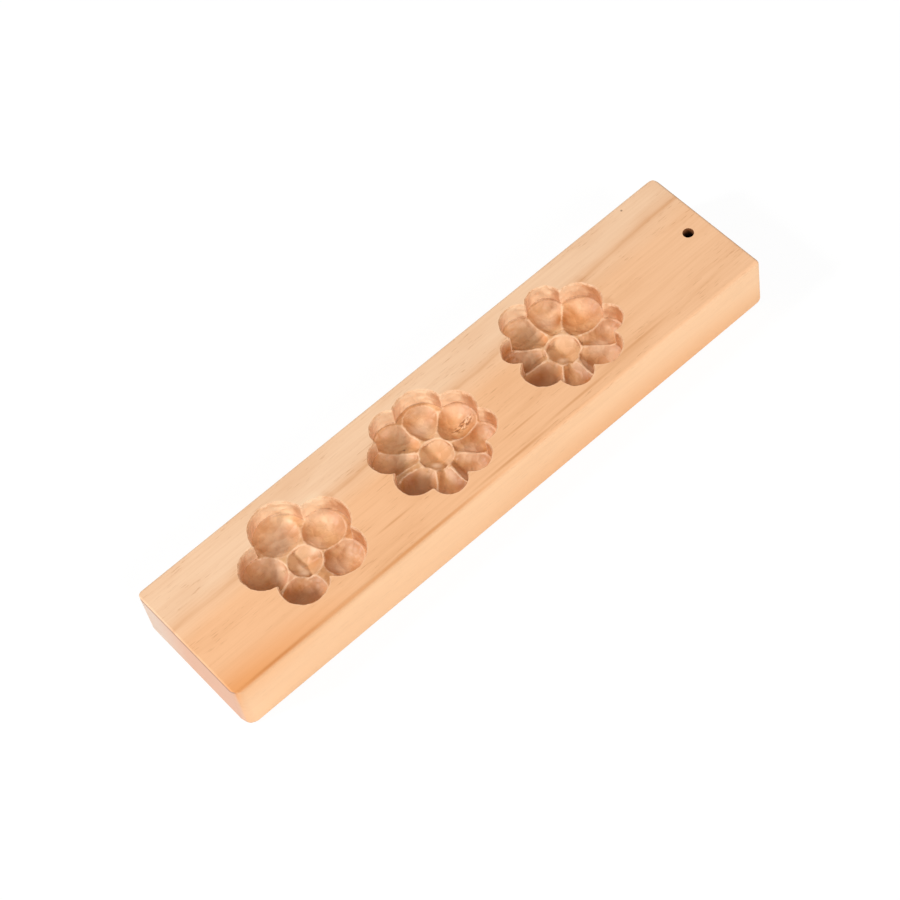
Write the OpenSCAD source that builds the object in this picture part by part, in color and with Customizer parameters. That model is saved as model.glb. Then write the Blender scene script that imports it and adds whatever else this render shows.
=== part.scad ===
// Wooden pastry mold: one board with three carved flower pockets and a hanging hole.
// Millimetres. The board lies on its underside, centred on the origin, with its length along X,
// its hanging hole near the +X end and its pockets open upwards.

/* [Board] */
// Length from end to end
board_length = 290; // [270:1:340]
// Width across the grain
board_width = 65.5; // [60:0.5:90]
// Thickness
board_thickness = 30; // [22:0.5:40]
// Radius of the four upright corners
corner_radius = 3; // [1:0.5:10]
// Rounding along the long edges of the top face
top_side_rounding = 2; // [0.5:0.5:4]
// Rounding along the end edges of the top face
top_end_rounding = 1; // [0.5:0.5:4]
// Rounding along the edges of the underside
underside_rounding = 4; // [0.5:0.5:8]

/* [Flower pockets] */
// Distance from the plain end to the middle of the first flower
first_flower_from_end = 61; // [45:0.5:70]
// Distance between the middles of neighbouring flowers
flower_pitch = 72.5; // [60:0.5:80]
// Distance of each flower's middle from the board's centre line, towards +Y
flower_offsets = [1.5, 0.5, 1]; // [0:0.5:3]
// Depth of the upright petal walls below the top face
wall_depth = 10; // [5:0.5:12]
// Further depth of the hollowed petal floors below the foot of the walls
petal_dish_depth = 4; // [1:0.5:5]
// Radius of the middle hollow, at the foot of the walls
middle_radius = 7.5; // [5:0.5:10]
// Depth of the middle hollow below the foot of the walls
middle_dish_depth = 4; // [1:0.5:5]
// How far the petal floors run out past the walls, and in under the rim of the middle hollow
petal_overlap = 1; // [0.5:0.5:4]

/* [Hanging hole] */
// Diameter of the hole
hole_diameter = 5; // [3:0.5:8]
// Distance from the end of the board to the middle of the hole
hole_from_end = 10.5; // [7:0.5:20]

/* [Hidden] */
$fn = 96;

// Petals, each [direction in degrees, distance from the middle of the flower, radius of its wall]
five_petals = [[90, 13, 12.5], [168, 16, 10.5], [238, 16.5, 11], [311, 16.5, 11.5], [9, 15, 11.5]];
round_petals = [
    [72, 15, 11.5], [117, 19.5, 8.5], [156, 19.5, 8.5], [207, 18, 9.5],
    [248, 19.5, 8], [293, 18, 8], [337, 19.5, 8], [17, 16.5, 9.5]
];
mixed_petals = [
    [70, 18.5, 8], [114, 19, 8.5], [157, 20, 6.5], [203, 18, 9.5],
    [247, 19, 7.5], [296, 18, 9], [338, 20.5, 7], [22, 17.5, 10]
];
// Radius of the open ground between the petals
ground_radius = 18;
// Flat cuts round the middle of the first flower, and the direction of the first one
middle_flats = 5;
middle_flat_turn = 43;
// Cutting shapes stand out this far past the faces that they cut
past = 1;

first_flower_x = first_flower_from_end - board_length / 2;
hole_x = board_length / 2 - hole_from_end;
wall_foot_z = board_thickness - wall_depth;
wood = "#f0c397";

// Radius of the sphere that leaves a hollow of this radius and depth in a flat floor
function sphere_radius(radius, depth) = (radius * radius + depth * depth) / (2 * depth);

// Rectangle on the X axis, with one radius at its lower corners and one at its upper corners
module rounded_rectangle(length, height, low_radius, high_radius) {
    translate([-length / 2, low_radius]) square([length, height - low_radius - high_radius]);
    translate([low_radius - length / 2, 0]) square([length - 2 * low_radius, height - high_radius]);
    translate([high_radius - length / 2, low_radius]) square([length - 2 * high_radius, height - low_radius]);
    for (side = [-1, 1]) {
        translate([side * (length / 2 - low_radius), low_radius]) circle(low_radius);
        translate([side * (length / 2 - high_radius), height - high_radius]) circle(high_radius);
    }
}

// Board with all its edges eased, before carving: its outlines from above, from the side and from the end
module blank() {
    intersection() {
        translate([0, -board_width / 2, -past])
            linear_extrude(board_thickness + 2 * past)
                rounded_rectangle(board_length, board_width, corner_radius, corner_radius);
        translate([0, board_width / 2 + past, 0]) rotate([90, 0, 0])
            linear_extrude(board_width + 2 * past)
                rounded_rectangle(board_length, board_thickness, underside_rounding, top_end_rounding);
        translate([-board_length / 2 - past, 0, 0]) rotate([90, 0, 90])
            linear_extrude(board_length + 2 * past)
                rounded_rectangle(board_width, board_thickness, underside_rounding, top_side_rounding);
    }
}

// Hollow of this radius at the foot of the walls, round like the inside of a spoon
module dish(radius, depth) {
    ball = sphere_radius(radius, depth);
    translate([0, 0, wall_foot_z - depth + ball]) sphere(ball);
}

// Floor of one petal: a hollow from just past the tip of its wall inwards to the rim of the middle
module petal_floor(petal) {
    outer = petal[1] + petal[2] + petal_overlap;
    inner = middle_radius - petal_overlap;
    rotate(petal[0]) translate([(outer + inner) / 2, 0, 0]) dish((outer - inner) / 2, petal_dish_depth);
}

// Outline of a flower on the top face
module flower_outline(petals) {
    circle(ground_radius);
    for (petal = petals) rotate(petal[0]) translate([petal[1], 0]) circle(petal[2]);
}

// Pocket of one flower: upright walls round its outline, hollowed petals, and the middle given as a child
module flower_pocket(petals) {
    reach = max([for (petal = petals) petal[1] + petal[2]]) + past;
    intersection() {
        linear_extrude(board_thickness + past) flower_outline(petals);
        union() {
            translate([-reach, -reach, wall_foot_z]) cube([2 * reach, 2 * reach, wall_depth + past]);
            for (petal = petals) petal_floor(petal);
            children();
        }
    }
}

// Middle cut with flat strokes that meet in a point
module flat_cut_middle() {
    slope = atan2(middle_dish_depth, middle_radius);
    span = 4 * middle_radius;
    intersection() {
        cylinder(h = board_thickness, r = middle_radius);
        intersection_for (i = [0 : middle_flats - 1])
            translate([0, 0, wall_foot_z - middle_dish_depth])
                rotate(middle_flat_turn + i * 360 / middle_flats)
                    rotate([0, -slope, 0])
                        translate([-span, -span, 0]) cube([2 * span, 2 * span, span]);
    }
}

// Middle turned to a point
module pointed_middle() {
    translate([0, 0, wall_foot_z - middle_dish_depth])
        cylinder(h = middle_dish_depth, r1 = 0, r2 = middle_radius);
}

// Place of a flower, counted from the plain end
module at_flower(i) {
    translate([first_flower_x + i * flower_pitch, flower_offsets[i], 0]) children();
}

module mold_board() {
    color(wood) difference() {
        blank();
        at_flower(0) flower_pocket(five_petals) flat_cut_middle();
        at_flower(1) flower_pocket(round_petals) pointed_middle();
        at_flower(2) flower_pocket(mixed_petals) dish(middle_radius, middle_dish_depth);
        translate([hole_x, 0, -past]) cylinder(h = board_thickness + 2 * past, d = hole_diameter);
    }
}

mold_board();
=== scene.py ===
"""Wooden pastry mold: a board carved with three flower pockets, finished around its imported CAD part.

Metres, in the frame of the CAD part: the board lies on its underside, centred on the origin, with its length
along X, its hanging hole near the +X end and its pockets open upwards.
"""
import math

import bpy
import numpy as np
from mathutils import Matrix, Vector


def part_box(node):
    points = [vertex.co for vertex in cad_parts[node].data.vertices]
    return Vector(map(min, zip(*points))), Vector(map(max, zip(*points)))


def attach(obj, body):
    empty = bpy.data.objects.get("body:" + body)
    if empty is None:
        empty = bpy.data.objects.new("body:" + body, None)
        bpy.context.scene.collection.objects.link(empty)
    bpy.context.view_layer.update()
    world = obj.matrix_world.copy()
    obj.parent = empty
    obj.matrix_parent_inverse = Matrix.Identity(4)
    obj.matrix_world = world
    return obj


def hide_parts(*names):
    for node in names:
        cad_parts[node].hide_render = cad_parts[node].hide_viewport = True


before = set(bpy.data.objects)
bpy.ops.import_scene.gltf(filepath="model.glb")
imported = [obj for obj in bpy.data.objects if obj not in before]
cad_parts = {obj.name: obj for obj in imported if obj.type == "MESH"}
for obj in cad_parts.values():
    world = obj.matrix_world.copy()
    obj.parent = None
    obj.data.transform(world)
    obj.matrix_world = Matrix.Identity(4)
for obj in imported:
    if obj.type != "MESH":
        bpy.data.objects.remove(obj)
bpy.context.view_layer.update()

bl_info = {
    "name": "Pastry Mold",
    "version": (1, 0, 0),
    "blender": (4, 5, 0),
    "location": "3D View > Sidebar > Pastry Mold",
    "description": "Carves a wooden pastry mold and sets it on a plain pale stage",
    "category": "Object",
}

CAD_LOW, CAD_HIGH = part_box("mold_board")
MM = 0.001

# Flowers, counted from the plain end: place of the middle along and across the board, in millimetres.
FLOWER_PLACES = ((-84, 1.5), (-11.5, 0.5), (61, 1))

# Petal walls of each flower: direction in degrees, and distance from the middle and radius in millimetres.
PETAL_WALLS = (
    ((90, 13, 12.5), (168, 16, 10.5), (238, 15.6, 10.5), (311, 16.5, 11.5), (9, 15, 11.5)),
    ((72, 15, 11.5), (117, 19.5, 8.5), (156, 19.5, 8.5), (206, 17.6, 9.2),
     (249, 19.5, 7.6), (293, 18, 8), (337, 19.5, 8), (17, 16.5, 9.5)),
    ((70, 18.5, 8), (114, 19, 8.5), (157, 20, 6.5), (203, 17.6, 9.3),
     (247, 19, 7.5), (296, 18, 9), (338, 20.5, 7), (22, 17.5, 10)),
)

# Gouge cuts in the floor of each flower: direction in degrees, distance and radius of the round end, half
# the width of the point that the cut runs out to beside the middle, and depth, in millimetres. A cut without
# a point is a bowl.
PETAL_CUTS = (
    ((93, 15.9, 9.7, 0, 2.6), (164, 16.6, 9.2, 3.4, 4), (235, 16.6, 9.6, 3.4, 4.2), (319, 17.1, 8.6, 0, 4),
     (17, 16, 9.3, 0, 4)),
    ((71, 17.2, 7.9, 2.4, 3.2), (117, 19.4, 7.9, 2.3, 3.2), (149, 20, 6.9, 2.1, 4), (206, 18.2, 8.8, 2.5, 4),
     (248, 19.4, 7.4, 2.3, 3.6), (293, 18, 7.4, 2.4, 3.6), (337, 19.2, 7.4, 2.3, 4), (19, 16.8, 8.8, 2.7, 4)),
    ((70, 18.2, 7.8, 2.4, 3), (114, 19, 8, 2.4, 3.2), (157, 19.6, 6.2, 2.4, 4), (203, 18.2, 8.8, 2.5, 4),
     (247, 19, 7.2, 2.3, 3.6), (296, 18.2, 8.5, 2.5, 3.6), (338, 20, 6.6, 2.2, 4), (22, 17.6, 9.4, 2.6, 4)),
)

# Unevenness of the hand-cut petals: how far apart its waves lie and how high they are, and the finer waves
# laid over them.
CUT_WAVES = 5 * MM
CUT_HEIGHT = 0.7 * MM
FINER_WAVES = 3
# Middle of each flower: how far it lies off the flower's place and its depth, in millimetres, how many times
# it is smoothed, and the flat cuts that meet in its point, each with its direction and slope in degrees.
MIDDLES = (
    ((0.5, -1), 3.8, 3, ((56, 28), (140, 30), (200, 28), (309, 27), (5, 28))),
    ((-0.4, -0.4), 3.6, 60, ((35, 27), (140, 29), (215, 28), (330, 27))),
    ((-0.6, -1), 3.4, 60, ((30, 26), (165, 28), (220, 27), (300, 26))),
)
# Radius of each edge of the board in millimetres, by the sides that it lies on along X, Y and Z.
EDGE_RADII = {
    (-1, -1, 0): 5, (-1, 1, 0): 3.5, (1, -1, 0): 1.5, (1, 1, 0): 5,
    (-1, 0, -1): 5, (1, 0, -1): 5, (0, -1, -1): 2.5, (0, 1, -1): 2.5,
    (-1, 0, 1): 1, (1, 0, 1): 1.4, (0, -1, 1): 2, (0, 1, 1): 1.2,
}
WIDEST_EDGE = max(EDGE_RADII.values())
EDGE_STEPS = 6
# Radius of the open ground between the petals, in millimetres.
GROUND_RADIUS = 18
# Grain patterns: the lengths over which each one changes along, across and through the board, in millimetres,
# how many finer patterns are laid over each, and the values between which it mostly lies.
GRAIN = {
    "waver": (110, 40, 40), "ripple": (28, 12, 12), "mottle": (45, 14, 14), "rub": (5, 4, 4),
    "fibre": (26, 0.8, 0.8), "fleck": (6, 0.55, 0.55), "torn": (2.4, 1, 1),
}
NOISE_DETAIL = 2
NOISE_LOW = 0.3
NOISE_HIGH = 0.7
# A point on the pith of the rings, which runs along X beside and below the board, in millimetres.
PITH = (0, 70, -60)
# Shallow strokes of the gouge in the pockets: how large they are along the axes in millimetres, and how deep.
# The fibres stand out less: their height, and the share of it that shows.
STROKE_SIZE = (5, 4, 4)
STROKE_DEPTH = 0.75 * MM
FIBRE_HEIGHT = 0.1 * MM
FIBRE_SHARE = 0.3
# How far the rings drift across the board for each millimetre along it, how far they waver and ripple, and
# how far apart they lie on the sawn ends, in millimetres.
RING_DRIFT = -0.03
RING_WAVER = 1.2
RING_RIPPLE = 0.8
RING_SPACING = 2.8
# Dark lines between the years: distance from the pith and width over which each one darkens, in millimetres,
# and share. Each fades out again over a part of its width.
YEAR_LINES = (
    (107.1, 4, 0.36), (107.2, 1.3, 0.3), (115.5, 1.5, 0.1),
    (124.5, 2.5, 0.14), (130.5, 2, 0.14), (133.2, 2, 0.2),
)
YEAR_FADE = 0.3
# Where the grain of the second flower is torn: middle and half sizes in millimetres.
TORN_PLACE = ((7, 4.4, 16), (7.5, 2.6, 6))
# Marks in the wood: middle and half sizes in millimetres, colour and greatest share. Each is full up to a
# part of its half sizes, and fades out towards them. In the pockets, the pale marks are painted light and
# highlights, and the brown and warm marks, save the pin knot, are mostly painted shade.
MARK_CORE = 0.2
WOOD_MARKS = (
    # In the planed faces.
    ((-145, -34, 31), (72, 17, 13), "warm_wood_and_painted_shade", 0.9),
    # Low on the near side, darker towards the bottom: painted shade.
    ((80, -34, -1), (135, 10, 21), "warm_wood_and_painted_shade", 1),
    ((-85, -32.4, 29.8), (115, 2.5, 2.6), "late_wood", 0.8),
    ((-122, -31.4, 30), (26, 0.9, 3), "stain_and_painted_shade", 0.5),
    ((-45, -31.5, 30), (42, 0.9, 3), "late_wood", 0.8),
    ((8, -29.6, 30), (28, 0.9, 3), "late_wood", 0.7),
    ((48, -27.2, 30), (26, 0.9, 3), "late_wood", 0.6),
    ((82, -24.6, 30), (22, 0.9, 3), "late_wood", 0.5),
    ((-48, -17, 30), (12, 0.7, 3), "late_wood", 0.6),
    ((20, -20.2, 30), (15, 0.7, 3), "late_wood", 0.5),
    ((123, 29.5, 30), (0.7, 0.7, 1), "pin_knot", 0.8),
    # In the first flower.
    ((-69, 0.5, 17), (6, 4, 6), "warm_wood_and_painted_shade", 0.1),
    ((-81.5, -1.5, 17), (6, 5, 5), "warm_wood_and_painted_shade", 0.45),
    ((-79, -0.5, 18), (3.5, 3.5, 4), "stain_and_painted_shade", 0.5),
    ((-84, 15, 17), (11, 10, 6), "painted_light", 0.6),
    ((-84, 17, 18), (9, 8, 7), "sawn_far", 0.1),
    ((-89, 11.5, 17), (6, 5, 5), "painted_light", 0.6),
    ((-76.5, 23.5, 23), (7, 6, 8), "painted_pale_light", 0.9),
    ((-66, 14, 24), (8, 7, 9), "painted_pale_light", 0.8),
    ((-75.6, 4, 17), (5, 6, 5), "painted_light", 0.8),
    ((-76, -11.5, 16), (7, 8, 5), "painted_light", 0.8),
    ((-87, -2.5, 17), (3.2, 2.8, 4), "painted_light", 1),
    ((-101, 2, 16), (9, 10, 6), "stain_and_painted_shade", 0.65),
    ((-101, 12, 23), (9, 7, 9), "stain_and_painted_shade", 0.6),
    ((-78.5, 14.5, 18), (4, 7, 5), "stain_and_painted_shade", 0.55),
    ((-63, 3, 18), (5, 6, 5), "stain_and_painted_shade", 0.4),
    ((-93.5, -0.5, 19), (5, 4, 4), "flushed", 0.9),
    ((-97, -6, 17), (10, 5, 5), "stain_and_painted_shade", 0.6),
    ((-94, -15, 16), (10, 10, 6), "stain_and_painted_shade", 0.12),
    ((-88.5, -9.5, 17), (4, 4, 5), "stain_and_painted_shade", 0.5),
    ((-90.5, -15.5, 18), (7, 6, 7), "warm_wood_and_painted_shade", 0.6),
    ((-85.8, 0.4, 17), (2.5, 3, 4), "painted_light", 0.8),
    ((-60, 10, 25), (4, 7, 8), "stain_and_painted_shade", 0.4),
    ((-95, 4.5, 17), (5, 4, 5), "painted_light", 0.5),
    ((-92, 17, 17), (4, 3, 5), "stain_and_painted_shade", 0.35),
    ((-66, 9.5, 18), (4, 5, 5), "painted_pale_light", 0.25),
    # In the second flower.
    ((4, 5, 17), (8, 6, 7), "warm_wood_and_painted_shade", 0.35),
    ((7, -1.5, 17), (7, 4, 6), "warm_wood_and_painted_shade", 0.45),
    ((-9, 0, 17), (8, 8, 5), "warm_wood_and_painted_shade", 0.5),
    ((0, 22, 25), (6, 6, 8), "painted_pale_light", 0.2),
    ((-0.5, -8, 17), (7, 5, 5), "painted_light", 1),
    ((-15.2, -3.4, 17), (3.2, 2.8, 4), "painted_light", 1),
    ((-28, -1, 17), (9, 5, 5), "stain_and_painted_shade", 0.9),
    ((-28, -9, 16), (9, 10, 6), "stain_and_painted_shade", 0.55),
    ((-21, -9.5, 17), (6, 6, 6), "stain_and_painted_shade", 0.35),
    ((-15, -17.5, 19), (5, 5, 7), "stain_and_painted_shade", 0.9),
    ((-26, 1, 19), (7, 3.5, 5), "stain_and_painted_shade", 0.5),
    ((-15, 11, 19), (4, 6, 5), "warm_wood_and_painted_shade", 0.6),
    ((4, 10.5, 19), (6, 4, 5), "warm_wood_and_painted_shade", 0.5),
    ((9.5, 2.5, 18), (5, 5, 5), "stain_and_painted_shade", 0.45),
    ((-1.5, 15, 18), (4, 6, 5), "stain_and_painted_shade", 0.5),
    ((3, 12, 19), (5, 4, 5), "stain_and_painted_shade", 0.35),
    ((6, -0.8, 17), (6, 2.2, 5), "stain_and_painted_shade", 0.55),
    ((-6.5, -7, 18), (3, 3, 4), "stain_and_painted_shade", 0.4),
    ((-10.6, -15, 18), (2, 5, 6), "painted_light", 0.7),
    ((1, -17, 19), (4, 4, 6), "stain_and_painted_shade", 0.3),
    ((8, 12, 17), (4, 4, 5), "painted_pale_light", 0.25),
    ((-22.5, -16, 19), (4, 4, 6), "painted_light", 0.4),
    ((-22, -9, 17), (6, 6, 6), "warm_wood_and_painted_shade", 0.5),
    ((-6, -16, 18), (4, 4, 6), "painted_light", 0.4),
    ((-14, -18.5, 19), (3, 3, 5), "painted_shade", 0.45),
    ((8.5, 6, 17), (4, 2.5, 5), "stain_and_painted_shade", 0.4),
    ((-19, 5, 17), (4, 4, 5), "stain_and_painted_shade", 0.35),
    ((-7.5, 15, 17), (7, 6, 6), "sawn_far", 0.3),
    ((-20, 18, 20), (7, 6, 8), "painted_shade", 0.3),
    ((-29, 8, 16), (7, 8, 6), "stain_and_painted_shade", 0.5),
    ((-30, 15, 23), (8, 7, 9), "stain_and_painted_shade", 0.65),
    ((-19.4, 12.4, 16.5), (0.8, 0.8, 3), "pin_knot", 1),
    # In the third flower.
    ((76.5, 10, 17), (11, 8, 8), "warm_wood_and_painted_shade", 0.45),
    ((62, 0.5, 17), (8, 8, 5), "warm_wood_and_painted_shade", 0.25),
    ((74, -8.5, 17), (8, 5, 5), "painted_light", 1),
    ((57, -3, 17), (3.2, 2.8, 4), "painted_light", 0.9),
    ((44.5, -1, 17), (9, 5, 5), "stain_and_painted_shade", 0.9),
    ((44, -8, 16), (9, 10, 6), "stain_and_painted_shade", 0.5),
    ((52, -8, 17), (6, 6, 6), "stain_and_painted_shade", 0.35),
    ((57.5, -17.5, 19), (5, 5, 7), "stain_and_painted_shade", 0.9),
    ((51, 6, 19), (5, 4, 4), "stain_and_painted_shade", 0.5),
    ((59, 10.5, 19), (4, 5, 4), "warm_wood_and_painted_shade", 0.7),
    ((70, 13.5, 19), (6, 5, 5), "stain_and_painted_shade", 0.8),
    ((76, 12.5, 17), (5, 4, 5), "stain_and_painted_shade", 0.35),
    ((81.5, 12, 17), (4, 4.5, 5), "painted_pale_light", 0.35),
    ((67.5, 24, 26), (6, 5, 7), "stain_and_painted_shade", 0.25),
    ((86, -1, 25), (4, 4, 8), "stain_and_painted_shade", 0.5),
    ((85.5, 14.5, 25), (4, 6, 8), "stain_and_painted_shade", 0.35),
    ((43, 13, 20), (5, 4, 7), "painted_shade", 0.35),
    ((51, -6, 17), (6, 6, 6), "warm_wood_and_painted_shade", 0.55),
    ((62.3, -13, 18), (2, 6, 6), "painted_light", 0.7),
    ((58, -12, 17), (2.5, 4, 5), "stain_and_painted_shade", 0.35),
    ((80.5, -2.5, 18), (4, 4, 5), "painted_light", 0.5),
    ((82.5, 5.5, 18), (5, 6, 5), "stain_and_painted_shade", 0.4),
    ((53.5, 20, 20), (7, 6, 8), "painted_shade", 0.3),
    ((42, 8, 16), (7, 7, 6), "stain_and_painted_shade", 0.75),
    ((42.5, 13.5, 23), (8, 7, 9), "stain_and_painted_shade", 0.9),
    ((54, 16, 16), (8, 7, 6), "painted_shade", 0.12),
    ((66, 17, 17), (6, 6, 6), "sawn_far", 0.25),
)
# Coats of colour over the sapwood, from the inside out. Each has the name of its colour and factors whose
# product is its share: a field of the wood, the two values between which the factor changes, and what it is
# at each of them.
CARVED = ("carved", 0, 1, 0, 1)
PLAIN = ("carved", 0, 1, 1, 0)
FLOOR = (CARVED, ("facing_z", 0.1, 0.5, 0, 1))
TORN = (CARVED, ("torn_place", 0.5, 1, 0.9, 0))
SAWN = (PLAIN, ("across", 0.75, 0.98, 0, 0.85))
UNEVEN = ("mottle", 0.3, 0.6, 0.45, 1)
WOOD_COATS = (
    ("heartwood", ("radius", 104, 112, 0, 1)),
    ("sapwood", ("x", 0, 150, 0, 0.35)),
    ("late_wood", ("mottle", 0.45, 0.75, 0, 0.25)),
    *(("late_wood", ("radius", line - width, line, 0, 1), ("radius", line - width, line, 0, 1),
       ("radius", line, line + YEAR_FADE * width, darkest, 0), UNEVEN)
      for line, width, darkest in YEAR_LINES),
    ("late_wood", ("fibre", 0.4, 0.8, 0, 0.16)),
    ("fleck", ("fleck", 0.62, 0.72, 0, 0.4), ("mottle", 0.4, 0.55, 0, 1)),
)
# Coats of the carving, some of them painted light, highlight and shade, as marked below.
CARVED_COATS = (
    ("flushed", *FLOOR, ("rub", 0.5, 0.7, 0, 0.3)),
    ("end_grain_and_painted_shade", *FLOOR, ("rub", 0.5, 0.3, 0, 0.2)),
    # Painted light: floors sloping towards the key lamp, at -X, made paler.
    ("painted_light", *FLOOR, ("facing_x", -0.05, -0.45, 0, 0.55)),
    # Painted light: steep walls facing the front lamp made pale, save those turned to +X, in shade.
    ("painted_pale_light", CARVED, ("facing_y", -0.2, -0.6, 0, 0.58), ("facing_x", 0.4, 0, 0, 1),
     ("facing_z", 0.5, 0.2, 0, 1)),
    # Pale band on the top face along the rims: partly wear, partly painted highlight.
    ("worn_edge_and_highlight", PLAIN, ("rim", 0.4, 1.1, 0.4, 0), ("facing_z", 0.9, 0.99, 0, 1)),
    # Partly painted shade: carved faces turned to +X, away from the key lamp, made brown.
    ("end_grain_and_painted_shade", CARVED, ("facing_x", 0.02, 0.5, 0, 0.4)),
    ("end_grain_and_painted_shade", *FLOOR, ("facing_x", -0.4, -0.8, 0, 0.5)),
    ("end_grain_and_painted_shade", CARVED, ("facing_x", -0.8, -1, 0, 0.6)),
)
MARK_COATS = tuple((name, (i, MARK_CORE, 1, most, 0)) for i, (_, _, name, most) in enumerate(WOOD_MARKS))
# Last coats: sides, ends, torn grain, wear, and painted highlight and shade on ridges, creases and the hole.
LAST_COATS = (
    ("planed_side", PLAIN, ("sideways", 0.6, 0.98, 0, 0.45)),
    ("sawn_far", *SAWN),
    ("sawn_near", *SAWN, ("y", 22, 2, 0, 1)),
    ("late_wood", *SAWN, ("ring", 0.2, 1, 0, 0.2)),
    # Painted shade: a thin dark band just under the top edge of the sawn ends.
    ("painted_shade", PLAIN, ("across", 0.6, 0.9, 0, 1), ("z", 28.2, 28.8, 0, 0.5)),
    # Torn grain, shown with painted highlights and painted shade in its flecks.
    ("painted_pale_light", *TORN, ("torn", 0.52, 0.6, 0, 0.7)),
    ("painted_shade", *TORN, ("torn", 0.48, 0.42, 0, 0.9)),
    # Painted shade in the creases of the carving.
    ("painted_shade", ("painted_shade", 0, 1, 0, 0.32)),
    # Ridges and rims painted pale: partly wear, partly painted highlight.
    ("worn_edge_and_highlight", ("wear_and_highlight", 0, 1, 0, 1), ("rub", 0.35, 0.55, 0.4, 0.7)),
    # Painted shade in the hanging hole, darker deeper down.
    ("painted_shade", ("drilled", 0, 1, 0, 1)),
    ("painted_hole_shade", ("drilled", 0, 1, 0, 1), ("z", 29.2, 26, 0, 1)),
)
# Soft lamps, each with its name, place, size in metres and power in watts, and the light of the white room.
LAMPS = (("key_light", (-2.55, 0.93, 2.05), 0.6, 73), ("front_light", (0.1, -2.4, 1.4), 1.6, 46))
ROOM_LIGHT = 0.35
# Greys of the paper floor, of the shade that the camera sees on it, and its glow.
PAPER_GREY = (0.8, 0.8, 0.8, 1)
SHADE_GREY = (0.1, 0.1, 0.1, 1)
WHITE = (1, 1, 1, 1)
PAPER_GLOW = 0.92
# Sheen of the wood, planed and carved.
PLANED_ROUGHNESS = 0.55
CARVED_ROUGHNESS = 0.5
# Camera: width of its sensor in millimetres, and nearest distance that it sees.
SENSOR_WIDTH = 36
NEAREST_SEEN = 0.01
# Cutting tools stand out this far past the faces that they cut, and have this many sides.
PAST = 1 * MM
ROUND_SIDES = 128
BALL_SIDES = 96
BALL_RINGS = 48
POINT_SIZE = 0.1 * MM
# How finely the pockets are carved, how they are softened, and the share of their faces that is kept.
CARVING_STEP = 0.36 * MM
SOFTNESS = 0.5
SOFT_ROUNDS = 2
FACES_KEPT = 0.5
# The middle of a flower reaches this far, and its uneven petals begin this far out.
MIDDLE_REACH = 6.4 * MM
PETALS_FROM = 9 * MM
# Edges between faces that meet at more than this angle stay sharp.
SHARP_ANGLE = math.radians(35)
# Carved faces lie further in than this from the ends, the sides, the underside and the top.
CARVED_MARGINS = (8 * MM, 3 * MM, 6 * MM, 0.02 * MM)
# Drilled faces lie at most this far past the hole's radius, and further in from the underside and the top.
DRILLED_MARGINS = (0.1 * MM, 4 * MM, 0.5 * MM)
# Edges of the carving are shorter than this.
LONGEST_CARVED = 1 * MM
# Bend at which a ridge starts to be painted pale, as wear and painted highlight, or a crease to be painted
# dark as painted shade, and over which it becomes so.
RIDGE_BEND = (0.02, 0.05)
CREASE_BEND = (0.03, 0.08)
# Wear and painted highlight of the rims, and the share of their easing that shows it.
RIM_WEAR_AND_HIGHLIGHT = 0.3
RIM_SHARE = 0.9


def linear(value):
    """Linear red, green and blue of an sRGB hex colour."""
    shares = [int(value[i:i + 2], 16) / 255 for i in (1, 3, 5)]
    return [s / 12.92 if s <= 0.04045 else ((s + 0.055) / 1.055) ** 2.4 for s in shares]


def length(name, description, default):
    """A length that a user may change."""
    return bpy.props.FloatProperty(name=name, description=description, default=default, min=0,
                                   unit="LENGTH", subtype="DISTANCE")


def colour(name, description, default):
    """A colour that a user may change, its default written as sRGB hex."""
    return bpy.props.FloatVectorProperty(name=name, description=description, default=linear(default),
                                         size=3, min=0, max=1, subtype="COLOR")


class MoldSizes(bpy.types.PropertyGroup):
    """Sizes of the carved board"""

    board_length: length("Length", "Length of the board", CAD_HIGH.x - CAD_LOW.x)
    board_width: length("Width", "Width of the board across the grain", CAD_HIGH.y - CAD_LOW.y)
    board_thickness: length("Thickness", "Thickness of the board", CAD_HIGH.z - CAD_LOW.z)
    wall_depth: length("Wall depth", "Depth of the upright petal walls", 10 * MM)
    point_distance: length("Point distance", "From a flower's middle to the points of its cuts", 7.9 * MM)
    point_depth: length("Point depth", "Depth of the cuts at their points", 1.1 * MM)
    middle_radius: length("Middle radius", "Radius of the middle hollow of a flower", 7.2 * MM)
    middle_step: length("Middle step", "Height of the upright rim of the middle hollow", 0.6 * MM)
    rim_easing: length("Rim easing", "Slope broken along the pockets' rims", 0.6 * MM)
    hole_diameter: length("Hole diameter", "Diameter of the hanging hole", 5 * MM)
    hole_from_end: length("Hole from end", "From the end of the board to the hole's middle", 10.5 * MM)


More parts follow.
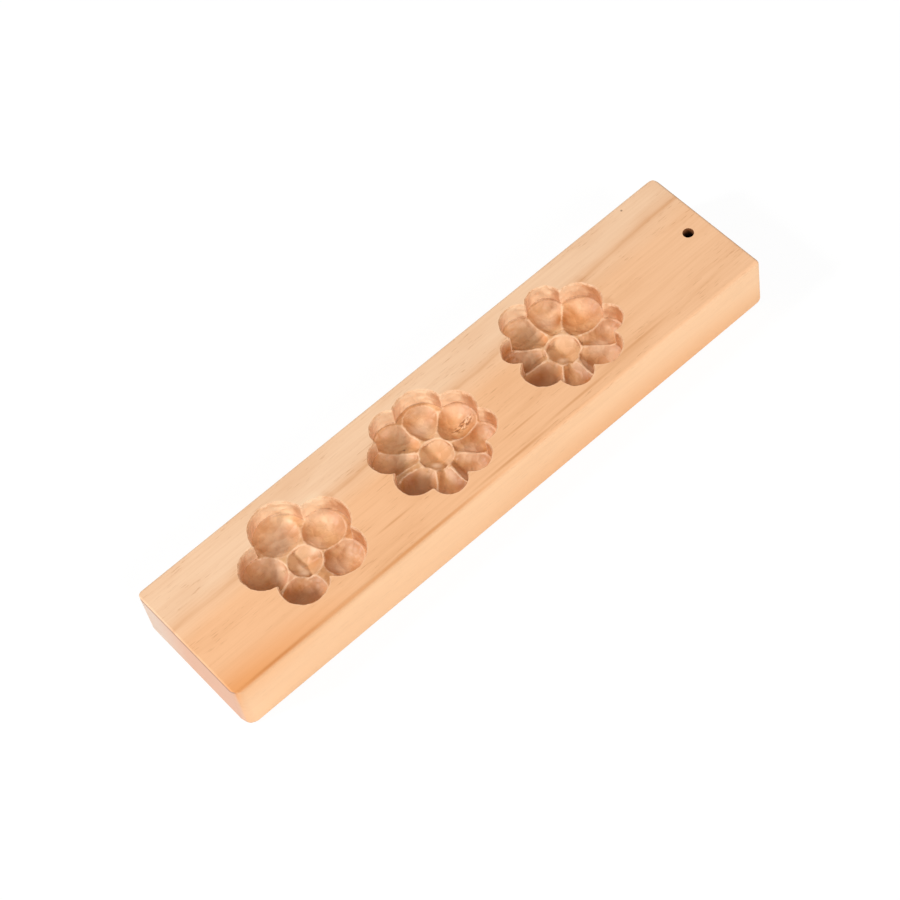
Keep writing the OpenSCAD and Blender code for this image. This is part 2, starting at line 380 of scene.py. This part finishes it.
class MoldColours(bpy.types.PropertyGroup):
    """Colours of the bare wood, and of the light and shade painted on it"""

    sapwood: colour("Sapwood", "Pale wood along the far side", "#F4CBA5")
    heartwood: colour("Heartwood", "Warm wood along the near side", "#F4BC8C")
    late_wood: colour("Late wood", "Thin dark lines between the years", "#CE8C52")
    # Also painted warm shade in the shaded petals of the pockets.
    warm_wood_and_painted_shade: colour("Warm heart", "Orange patches in the heartwood", "#E99B58")
    flushed: colour("Flushed wood", "Pink patches in the carved wood", "#E0A27C")
    # Painted light: paler wood on slopes facing the key lamp and on shaded spots brightened.
    painted_light: colour("Clean cut", "Carved wood cut with the grain", "#F8CDA6")
    # Painted light: walls facing the front lamp, bright spots and torn-grain highlights painted pale.
    painted_pale_light: colour("Far walls", "Upright walls of the pockets towards the far side", "#FFE2BC")
    fleck: colour("Flecks", "Short dark pores in the planed faces", "#B5763F")
    # Mostly painted shade in the pockets' shaded petals and walls; on the top face, a dark line in the grain.
    stain_and_painted_shade: colour("Oil stain", "Deep cuts that have taken up the most oil", "#B8691E")
    pin_knot: colour("Pin knot", "Small dark knots", "#5A351E")
    oiled: colour("Oiled floors", "Tint of the pockets' floors, which take up oil from the dough", "#ECDDC4")
    # Real end grain, and painted shade on carved faces turned away from the key lamp.
    end_grain_and_painted_shade: colour("End grain", "Carved wood cut across the fibres", "#AC5F22")
    planed_side: colour("Planed side", "Pale wood of the long sides", "#FFD8AC")
    sawn_far: colour("Sawn end, far", "Sanded end towards the far side", "#E0C9B9")
    sawn_near: colour("Sawn end, near", "Sanded end towards the near side", "#E1AE91")
    # Partly wear, partly painted highlight on ridges and rims.
    worn_edge_and_highlight: colour("Worn edge", "Ridges and rims rubbed pale", "#FBD2AB")
    # Painted shade: creases, the ends' top band, the hole, torn grain and dark spots in the pockets.
    painted_shade: colour("Crease", "Grime in the creases", "#8A5530")
    # Painted shade on the hole's wall.
    painted_hole_shade: colour("Scorched hole", "Wall of the hole, scorched by the drill", "#3E2415")


class StageSettings(bpy.types.PropertyGroup):
    """Plain pale stage, its light and the camera"""

    floor_size: length("Floor size", "Side of the square floor", 6)
    camera_place: bpy.props.FloatVectorProperty(
        name="Camera place", description="Place of the camera", size=3,
        default=(-0.3046, -0.5144, 0.9508), subtype="TRANSLATION", unit="LENGTH")
    camera_turn: bpy.props.FloatVectorProperty(
        name="Camera turn", description="Turn of the camera", size=3, subtype="EULER", unit="ROTATION",
        default=(math.radians(31.776), math.radians(7.068), math.radians(-41.452)))
    camera_lens: bpy.props.FloatProperty(
        name="Lens", description="Focal length on a 36 mm sensor", default=105.98, min=1, unit="CAMERA")


def start(shape, **settings):
    """Adds a primitive at its size and place, alone selected, with its place in its mesh."""
    bpy.ops.object.select_all(action="DESELECT")
    shape(**settings)
    bpy.ops.object.transform_apply(location=True, rotation=True, scale=True)
    return bpy.context.object


def select_only(obj):
    """Leaves one object selected and active."""
    bpy.ops.object.select_all(action="DESELECT")
    obj.select_set(True)
    bpy.context.view_layer.objects.active = obj


def modify(obj, kind, **settings):
    """Adds a modifier and applies it."""
    select_only(obj)
    modifier = obj.modifiers.new(kind.lower(), kind)
    for name, value in settings.items():
        setattr(modifier, name, value)
    bpy.ops.object.modifier_apply(modifier=modifier.name)


def cut_out(obj, tool):
    """Cuts another solid out of obj, and uses that solid up."""
    modify(obj, "BOOLEAN", object=tool, operation="DIFFERENCE", solver="MANIFOLD")
    bpy.data.objects.remove(tool)


def trim(obj, point, outwards):
    """Cuts away what lies beyond a plane and closes the cut."""
    select_only(obj)
    bpy.ops.object.mode_set(mode="EDIT")
    bpy.ops.mesh.select_all(action="SELECT")
    bpy.ops.mesh.bisect(plane_co=point, plane_no=outwards, use_fill=True, clear_outer=True)
    bpy.ops.object.mode_set(mode="OBJECT")


def join(parts):
    """Joins tools into one object."""
    select_only(parts[0])
    for part in parts[1:]:
        part.select_set(True)
    bpy.ops.object.join()
    return bpy.context.object


def around(place, direction, distance):
    """Point at a direction in degrees and a distance from a flower's middle, all in millimetres."""
    turn = math.radians(direction)
    return (place[0] + distance * math.cos(turn)) * MM, (place[1] + distance * math.sin(turn)) * MM


def column(radius, low, high, at, flare=0):
    """Upright round tool, wider at its top by flare."""
    return start(bpy.ops.mesh.primitive_cone_add, vertices=ROUND_SIDES, depth=high - low, radius1=radius,
                 radius2=radius + flare, location=(at[0], at[1], (low + high) / 2))


def wall_tools(place, walls, sizes):
    """Tools for the upright walls of one flower, with the slope broken along its rim."""
    top = sizes.board_thickness
    foot = top - sizes.wall_depth
    ease = sizes.rim_easing
    tools = []
    for direction, distance, radius in ((0, 0, GROUND_RADIUS), *walls):
        at = around(place, direction, distance)
        tools.append(column(radius * MM, foot, top + PAST, at))
        tools.append(column(radius * MM, top - ease, top + PAST, at, ease + PAST))
    return tools


def petal_tool(place, cut, sizes):
    """Gouge cut of one petal: a round end, drawn out to a shallow point beside the flower's middle."""
    direction, distance, radius, half_point, depth = cut
    floor = sizes.board_thickness - sizes.wall_depth
    depth = depth * MM
    ball = ((radius * MM) ** 2 + depth ** 2) / (2 * depth)
    x, y = around(place, direction, distance)
    tool = start(bpy.ops.mesh.primitive_uv_sphere_add, segments=BALL_SIDES, ring_count=BALL_RINGS,
                 radius=ball, location=(x, y, floor - depth + ball))
    if half_point:
        x, y = around(place, direction, sizes.point_distance / MM)
        turn = math.radians(direction)
        aside = (-math.sin(turn) * half_point * MM, math.cos(turn) * half_point * MM)
        bpy.ops.object.mode_set(mode="EDIT")
        for side, low in ((-1, 0), (0, sizes.point_depth), (1, 0)):
            corner = (x + side * aside[0], y + side * aside[1], floor - low)
            bpy.ops.mesh.primitive_cube_add(size=POINT_SIZE, location=corner)
        bpy.ops.mesh.select_all(action="SELECT")
        bpy.ops.mesh.convex_hull()
        bpy.ops.object.mode_set(mode="OBJECT")
    trim(tool, (0, 0, floor + PAST), (0, 0, 1))
    return tool


def middle_tool(place, middle, sizes):
    """Tool for the middle of one flower: an upright rim over flat cuts that meet in a point."""
    offset, depth, _, flats = middle
    x, y = around((place[0] + offset[0], place[1] + offset[1]), 0, 0)
    floor = sizes.board_thickness - sizes.wall_depth
    tip = floor - sizes.middle_step - depth * MM
    pit = column(sizes.middle_radius, tip - PAST, floor + PAST, (x, y))
    for direction, slope in flats:
        turn = math.radians(direction)
        lean = math.radians(slope)
        down = (math.cos(turn) * math.sin(lean), math.sin(turn) * math.sin(lean), -math.cos(lean))
        trim(pit, (x, y, tip), down)
    return pit


def flower_tool(i, sizes):
    """One tool for all of a flower's pocket, its ridges and corners softened as by hand."""
    place = FLOWER_PLACES[i]
    tools = wall_tools(place, PETAL_WALLS[i], sizes)
    tools += [petal_tool(place, cut, sizes) for cut in PETAL_CUTS[i]]
    tools.append(middle_tool(place, MIDDLES[i], sizes))
    tool = join(tools)
    modify(tool, "REMESH", mode="VOXEL", voxel_size=CARVING_STEP)
    modify(tool, "SMOOTH", factor=SOFTNESS, iterations=SOFT_ROUNDS)
    middle = Vector(around(place, 0, 0))
    distances = [(v.co.xy - middle).length for v in tool.data.vertices]
    for name, low, high in (("middle", 0, MIDDLE_REACH), ("petals", PETALS_FROM, math.inf)):
        group = tool.vertex_groups.new(name=name)
        inside = [index for index, distance in enumerate(distances) if low <= distance < high]
        group.add(inside, 1, "REPLACE")
    modify(tool, "SMOOTH", factor=SOFTNESS, iterations=MIDDLES[i][2], vertex_group="middle")
    waves = bpy.data.textures.new("clouds", "CLOUDS")
    waves.noise_scale = CUT_WAVES
    waves.noise_depth = FINER_WAVES
    modify(tool, "DISPLACE", texture=waves, texture_coords="LOCAL", strength=CUT_HEIGHT, mid_level=0.5,
           vertex_group="petals")
    bpy.data.textures.remove(waves)
    modify(tool, "DECIMATE", ratio=FACES_KEPT)
    return tool


def blank(sizes):
    """Board before carving: a block whose edges are eased, each with its own radius."""
    size = (sizes.board_length, sizes.board_width, sizes.board_thickness)
    board = start(bpy.ops.mesh.primitive_cube_add, size=1, location=(0, 0, size[2] / 2), scale=size)
    board.name = board.data.name = "carved_board"
    shares = board.data.attributes.new("bevel_weight_edge", "FLOAT", "EDGE")
    for edge in board.data.edges:
        middle = sum((board.data.vertices[i].co for i in edge.vertices), Vector()) / 2
        off = middle - Vector((0, 0, size[2] / 2))
        sides = tuple(round(2 * distance / extent) for distance, extent in zip(off, size))
        shares.data[edge.index].value = EDGE_RADII[sides] / WIDEST_EDGE
    modify(board, "BEVEL", width=WIDEST_EDGE * MM, segments=EDGE_STEPS, limit_method="WEIGHT")
    return board


def triples(items, field):
    """A row of three numbers for each face or vertex."""
    values = np.zeros(len(items) * 3)
    items.foreach_get(field, values)
    return values.reshape(-1, 3)


def bends(mesh):
    """How far the surface bends at each vertex of the carving: above zero on ridges, below in creases."""
    points = triples(mesh.vertices, "co")
    normals = triples(mesh.vertex_normals, "vector")
    ends = np.zeros(len(mesh.edges) * 2, int)
    mesh.edges.foreach_get("vertices", ends)
    ends = ends.reshape(-1, 2)
    along = points[ends[:, 1]] - points[ends[:, 0]]
    spans = np.linalg.norm(along, axis=1)
    fine = spans < LONGEST_CARVED
    ends, along, spans = ends[fine], along[fine], spans[fine]
    bend = np.zeros(len(points))
    count = np.zeros(len(points))
    for near, sign in ((0, 1), (1, -1)):
        drop = -sign * np.einsum("ij,ij->i", normals[ends[:, near]], along) / spans ** 2 * CARVING_STEP
        np.add.at(bend, ends[:, near], drop)
        np.add.at(count, ends[:, near], 1)
    count = np.maximum(count, 1)
    bend = bend / count
    for _ in range(SOFT_ROUNDS):
        nearby = np.zeros(len(points))
        for near in (0, 1):
            np.add.at(nearby, ends[:, near], bend[ends[:, 1 - near]])
        bend = (bend + nearby / count) / 2
    return bend


def cut_places(places, sizes):
    """Which places lie in the carving, and which in the hanging hole."""
    from_end, from_side, from_under, from_top = CARVED_MARGINS
    past_hole, hole_from_under, hole_from_top = DRILLED_MARGINS
    half_length, half_width, high = sizes.board_length / 2, sizes.board_width / 2, sizes.board_thickness
    x, y, z = places.T
    inside = (np.abs(x) < half_length - from_end) & (np.abs(y) < half_width - from_side)
    hole_x = half_length - sizes.hole_from_end
    hole = np.hypot(x - hole_x, y) < sizes.hole_diameter / 2 + past_hole
    carved = inside & (z > from_under) & (z < high - from_top) & ~hole
    drilled = hole & (z > hole_from_under) & (z < high - hole_from_top)
    return carved, drilled


def mark_surface(board, sizes):
    """Stores which faces are carved or drilled, how far vertices are painted pale as wear and highlight, and
    how far they lie in a crease that is painted as shade.
    """
    mesh = board.data
    carved, drilled = cut_places(triples(mesh.polygons, "center"), sizes)
    points = triples(mesh.vertices, "co")
    in_carving, _ = cut_places(points, sizes)
    bend = bends(mesh)
    rim = in_carving & (points[:, 2] > sizes.board_thickness - RIM_SHARE * sizes.rim_easing)
    ridge = np.clip((bend - RIDGE_BEND[0]) / RIDGE_BEND[1], 0, 1) * in_carving
    wear_and_highlight = np.maximum(ridge, RIM_WEAR_AND_HIGHLIGHT * rim)
    painted_shade = np.clip((-bend - CREASE_BEND[0]) / CREASE_BEND[1], 0, 1) * in_carving
    marks = (("carved", "FACE", carved), ("drilled", "FACE", drilled),
             ("wear_and_highlight", "POINT", wear_and_highlight), ("painted_shade", "POINT", painted_shade))
    for name, domain, values in marks:
        attribute = mesh.attributes.new(name, "FLOAT", domain)
        attribute.data.foreach_set("value", values.astype(np.float32))


def node(tree, kind, inputs=None, out=0, **settings):
    """Adds a node with its settings, its input values and its links, and returns one of its outputs."""
    made = tree.nodes.new(kind)
    for name, value in settings.items():
        setattr(made, name, value)
    for name, value in (inputs or {}).items():
        if isinstance(value, bpy.types.NodeSocket):
            tree.links.new(value, made.inputs[name])
        else:
            made.inputs[name].default_value = value
    return made.outputs[out]


def share(tree, fields, factors):
    """Product of factors, each a field that is mapped evenly from its low and high to two given values."""
    made = None
    for name, low, high, at_low, at_high in factors:
        part = node(tree, "ShaderNodeMapRange", {"Value": fields[name], "From Min": low, "From Max": high,
                                                 "To Min": at_low, "To Max": at_high})
        if made is not None:
            part = node(tree, "ShaderNodeMath", {0: made, 1: part}, operation="MULTIPLY")
        made = part
    return made


def lay(tree, base, fields, coats, colours):
    """Lays coats of colour over a base, each with its share."""
    for name, *factors in coats:
        tint = (*getattr(colours, name), 1)
        base = node(tree, "ShaderNodeMix", {0: share(tree, fields, factors), 6: base, 7: tint}, out=2,
                    data_type="RGBA")
    return base


def ring_radius(tree, place, fields):
    """Distance from the pith in millimetres, drifting, wavering and rippling along the board."""
    waver = share(tree, fields, (("waver", NOISE_LOW, NOISE_HIGH, -RING_WAVER, RING_WAVER),))
    ripple = share(tree, fields, (("ripple", NOISE_LOW, NOISE_HIGH, -RING_RIPPLE, RING_RIPPLE),))
    shift = node(tree, "ShaderNodeMath", {0: waver, 1: ripple})
    shift = node(tree, "ShaderNodeMath", {0: fields["x"], 1: RING_DRIFT, 2: shift}, operation="MULTIPLY_ADD")
    moved = node(tree, "ShaderNodeCombineXYZ", {1: shift})
    flat = node(tree, "ShaderNodeVectorMath", {0: place, 1: (0, 1, 1), 2: moved}, operation="MULTIPLY_ADD")
    return node(tree, "ShaderNodeVectorMath", {0: flat, 1: PITH}, out="Value", operation="DISTANCE")


def rim_distance(tree, place):
    """Distance of each point of the top face from the nearest pocket's rim, in millimetres."""
    level = node(tree, "ShaderNodeVectorMath", {0: place, 1: (1, 1, 0)}, operation="MULTIPLY")
    nearest = (CAD_HIGH.x - CAD_LOW.x) / MM
    for flower, walls in zip(FLOWER_PLACES, PETAL_WALLS):
        for direction, distance, radius in walls:
            x, y = around(flower, direction, distance)
            middle = (x / MM, y / MM, 0)
            off = node(tree, "ShaderNodeVectorMath", {0: level, 1: middle}, out="Value", operation="DISTANCE")
            off = node(tree, "ShaderNodeMath", {0: off, 1: radius}, operation="SUBTRACT")
            nearest = node(tree, "ShaderNodeMath", {0: nearest, 1: off}, operation="MINIMUM")
    return nearest


def wood_fields(tree):
    """Named values all over the board: place, facing, how it was cut, noise, and distances in the wood."""
    place = node(tree, "ShaderNodeTexCoord", out="Object")
    place = node(tree, "ShaderNodeVectorMath", {0: place, "Scale": 1 / MM}, operation="SCALE")
    normal = node(tree, "ShaderNodeNewGeometry", out="Normal")
    fields = {}
    for vector, prefix in ((place, ""), (normal, "facing_")):
        axes = node(tree, "ShaderNodeSeparateXYZ", {0: vector}).node.outputs
        fields.update({prefix + name: axis for name, axis in zip("xyz", axes)})
    for name, axis in (("across", "facing_x"), ("sideways", "facing_y")):
        fields[name] = node(tree, "ShaderNodeMath", {0: fields[axis]}, operation="ABSOLUTE")
    for name in ("carved", "drilled", "wear_and_highlight", "painted_shade"):
        fields[name] = node(tree, "ShaderNodeAttribute", out="Fac", attribute_name=name)
    for name, lengths in GRAIN.items():
        shrunk = node(tree, "ShaderNodeVectorMath", {0: place, 1: lengths}, operation="DIVIDE")
        fields[name] = node(tree, "ShaderNodeTexNoise", {"Vector": shrunk, "Scale": 1.0,
                                                         "Detail": NOISE_DETAIL})
    ovals = {"torn_place": TORN_PLACE, **{i: mark[:2] for i, mark in enumerate(WOOD_MARKS)}}
    for name, (middle, half_sizes) in ovals.items():
        off = node(tree, "ShaderNodeVectorMath", {0: place, 1: middle}, operation="SUBTRACT")
        off = node(tree, "ShaderNodeVectorMath", {0: off, 1: half_sizes}, operation="DIVIDE")
        fields[name] = node(tree, "ShaderNodeVectorMath", {0: off}, out="Value", operation="LENGTH")
    shrunk = node(tree, "ShaderNodeVectorMath", {0: place, 1: STROKE_SIZE}, operation="DIVIDE")
    fields["stroke"] = node(tree, "ShaderNodeTexVoronoi", {"Vector": shrunk, "Scale": 1.0})
    fields["rim"] = rim_distance(tree, place)
    fields["radius"] = ring_radius(tree, place, fields)
    turns = 2 * math.pi / RING_SPACING
    turn = node(tree, "ShaderNodeMath", {0: fields["radius"], 1: turns}, operation="MULTIPLY")
    fields["ring"] = node(tree, "ShaderNodeMath", {0: turn}, operation="SINE")
    return fields


def pear_wood(colours):
    """Pear wood, planed outside and cut with gouges inside, bare: fine straight fibres along the board, thin
    dark lines between the years, a low sheen, and carved end grain that looks brown. Light and shade are
    painted into its colour too: pale where light falls in the pockets, dark in creases, hollows and the hole."""
    material = bpy.data.materials.new("pear_wood_bare")
    material.use_nodes = True
    tree = material.node_tree
    fields = wood_fields(tree)
    base = lay(tree, (*colours.sapwood, 1), fields, WOOD_COATS, colours)
    oiled = (*colours.oiled, 1)
    base = node(tree, "ShaderNodeMix", {0: share(tree, fields, FLOOR), 6: base, 7: oiled}, out=2,
                data_type="RGBA", blend_type="MULTIPLY")
    base = lay(tree, base, fields, CARVED_COATS + MARK_COATS + LAST_COATS, colours)
    shader = tree.nodes["Principled BSDF"]
    tree.links.new(base, shader.inputs["Base Color"])
    sheen = share(tree, fields, (("carved", 0, 1, PLANED_ROUGHNESS, CARVED_ROUGHNESS),))
    tree.links.new(sheen, shader.inputs["Roughness"])
    bump = node(tree, "ShaderNodeBump", {"Strength": FIBRE_SHARE, "Distance": FIBRE_HEIGHT,
                                         "Height": fields["fibre"]})
    bump = node(tree, "ShaderNodeBump", {"Strength": share(tree, fields, (CARVED,)), "Distance": STROKE_DEPTH,
                                         "Height": fields["stroke"], "Normal": bump})
    tree.links.new(bump, shader.inputs["Normal"])
    return material


class PASTRYMOLD_OT_carve_board(bpy.types.Operator):
    """Carve the board: its blank, its flower pockets and its hanging hole"""

    bl_idname = "pastry_mold.carve_board"
    bl_label = "Carve Board"

    def execute(self, context):
        sizes = context.scene.mold_sizes
        board = blank(sizes)
        for i in range(len(FLOWER_PLACES)):
            cut_out(board, flower_tool(i, sizes))
        hole_at = (sizes.board_length / 2 - sizes.hole_from_end, 0)
        hole = column(sizes.hole_diameter / 2, -PAST, sizes.board_thickness + PAST, hole_at)
        cut_out(board, hole)
        select_only(board)
        bpy.ops.object.shade_smooth_by_angle(angle=SHARP_ANGLE)
        modify(board, "WEIGHTED_NORMAL", keep_sharp=True)
        mark_surface(board, sizes)
        board.data.materials.clear()
        board.data.materials.append(pear_wood(context.scene.mold_colours))
        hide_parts("mold_board")
        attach(board, "root")
        return {"FINISHED"}


def soft_lamp(name, place, size, power):
    """Square soft light that faces the board."""
    bpy.ops.object.light_add(type="AREA", location=place)
    lamp = bpy.context.object
    lamp.name = name
    lamp.data.size = size
    lamp.data.energy = power
    lamp.rotation_euler = (-lamp.location).to_track_quat("-Z", "Y").to_euler()


def white_floor():
    """Matt white paper: it glows a little to the camera, so that only the object's shadow shows on it."""
    material = bpy.data.materials.new("matt_white_paper")
    material.use_nodes = True
    tree = material.node_tree
    tree.nodes.clear()
    seen_by_camera = node(tree, "ShaderNodeLightPath", out="Is Camera Ray")
    paper = node(tree, "ShaderNodeBsdfDiffuse", {"Color": PAPER_GREY})
    shade = node(tree, "ShaderNodeBsdfDiffuse", {"Color": SHADE_GREY})
    glow = node(tree, "ShaderNodeEmission", {"Color": WHITE, "Strength": PAPER_GLOW})
    seen = node(tree, "ShaderNodeAddShader", {0: shade, 1: glow})
    mixed = node(tree, "ShaderNodeMixShader", {0: seen_by_camera, 1: paper, 2: seen})
    output = tree.nodes.new("ShaderNodeOutputMaterial")
    tree.links.new(mixed, output.inputs["Surface"])
    return material


def white_room(scene):
    """White surroundings: plain white to the camera and in reflections, softer as light."""
    scene.world = bpy.data.worlds.new("white_room")
    scene.world.use_nodes = True
    tree = scene.world.node_tree
    rays = node(tree, "ShaderNodeLightPath").node.outputs
    seen = rays["Is Camera Ray"]
    for kind in ("Is Glossy Ray", "Is Transmission Ray"):
        seen = node(tree, "ShaderNodeMath", {0: seen, 1: rays[kind]}, operation="MAXIMUM")
    background = tree.nodes["Background"]
    background.inputs["Color"].default_value = WHITE
    strength = share(tree, {"seen": seen}, (("seen", 0, 1, ROOM_LIGHT, 1),))
    tree.links.new(strength, background.inputs["Strength"])


class PASTRYMOLD_OT_set_stage(bpy.types.Operator):
    """Set the stage: a white floor, soft light and the camera"""

    bl_idname = "pastry_mold.set_stage"
    bl_label = "Set Stage"

    def execute(self, context):
        scene = context.scene
        settings = scene.mold_stage
        floor = start(bpy.ops.mesh.primitive_plane_add, size=settings.floor_size)
        floor.name = floor.data.name = "floor"
        floor.data.materials.append(white_floor())
        for lamp in LAMPS:
            soft_lamp(*lamp)
        white_room(scene)
        bpy.ops.object.camera_add(location=settings.camera_place, rotation=settings.camera_turn)
        camera = context.object
        camera.data.sensor_width = SENSOR_WIDTH
        camera.data.lens = settings.camera_lens
        camera.data.clip_start = NEAREST_SEEN
        scene.camera = camera
        scene.view_settings.view_transform = "Standard"
        return {"FINISHED"}


class PASTRYMOLD_PT_panel(bpy.types.Panel):
    """Lists the steps that make the pastry mold"""

    bl_idname = "PASTRYMOLD_PT_panel"
    bl_label = "Pastry Mold"
    bl_space_type = "VIEW_3D"
    bl_region_type = "UI"
    bl_category = "Pastry Mold"

    def draw(self, context):
        for group in (context.scene.mold_sizes, context.scene.mold_colours, context.scene.mold_stage):
            box = self.layout.box()
            for name in group.__annotations__:
                box.prop(group, name)
        self.layout.operator("pastry_mold.carve_board")
        self.layout.operator("pastry_mold.set_stage")


CLASSES = (MoldSizes, MoldColours, StageSettings, PASTRYMOLD_OT_carve_board, PASTRYMOLD_OT_set_stage,
           PASTRYMOLD_PT_panel)


def register():
    """Registers the classes and their settings."""
    for made in CLASSES:
        bpy.utils.register_class(made)
    bpy.types.Scene.mold_sizes = bpy.props.PointerProperty(type=MoldSizes)
    bpy.types.Scene.mold_colours = bpy.props.PointerProperty(type=MoldColours)
    bpy.types.Scene.mold_stage = bpy.props.PointerProperty(type=StageSettings)


def unregister():
    """Takes the classes and their settings away."""
    for name in ("mold_sizes", "mold_colours", "mold_stage"):
        delattr(bpy.types.Scene, name)
    for made in reversed(CLASSES):
        bpy.utils.unregister_class(made)


def main():
    """Makes the mold and its stage."""
    register()
    bpy.ops.pastry_mold.carve_board()
    bpy.ops.pastry_mold.set_stage()


if __name__ == "__main__":
    main()
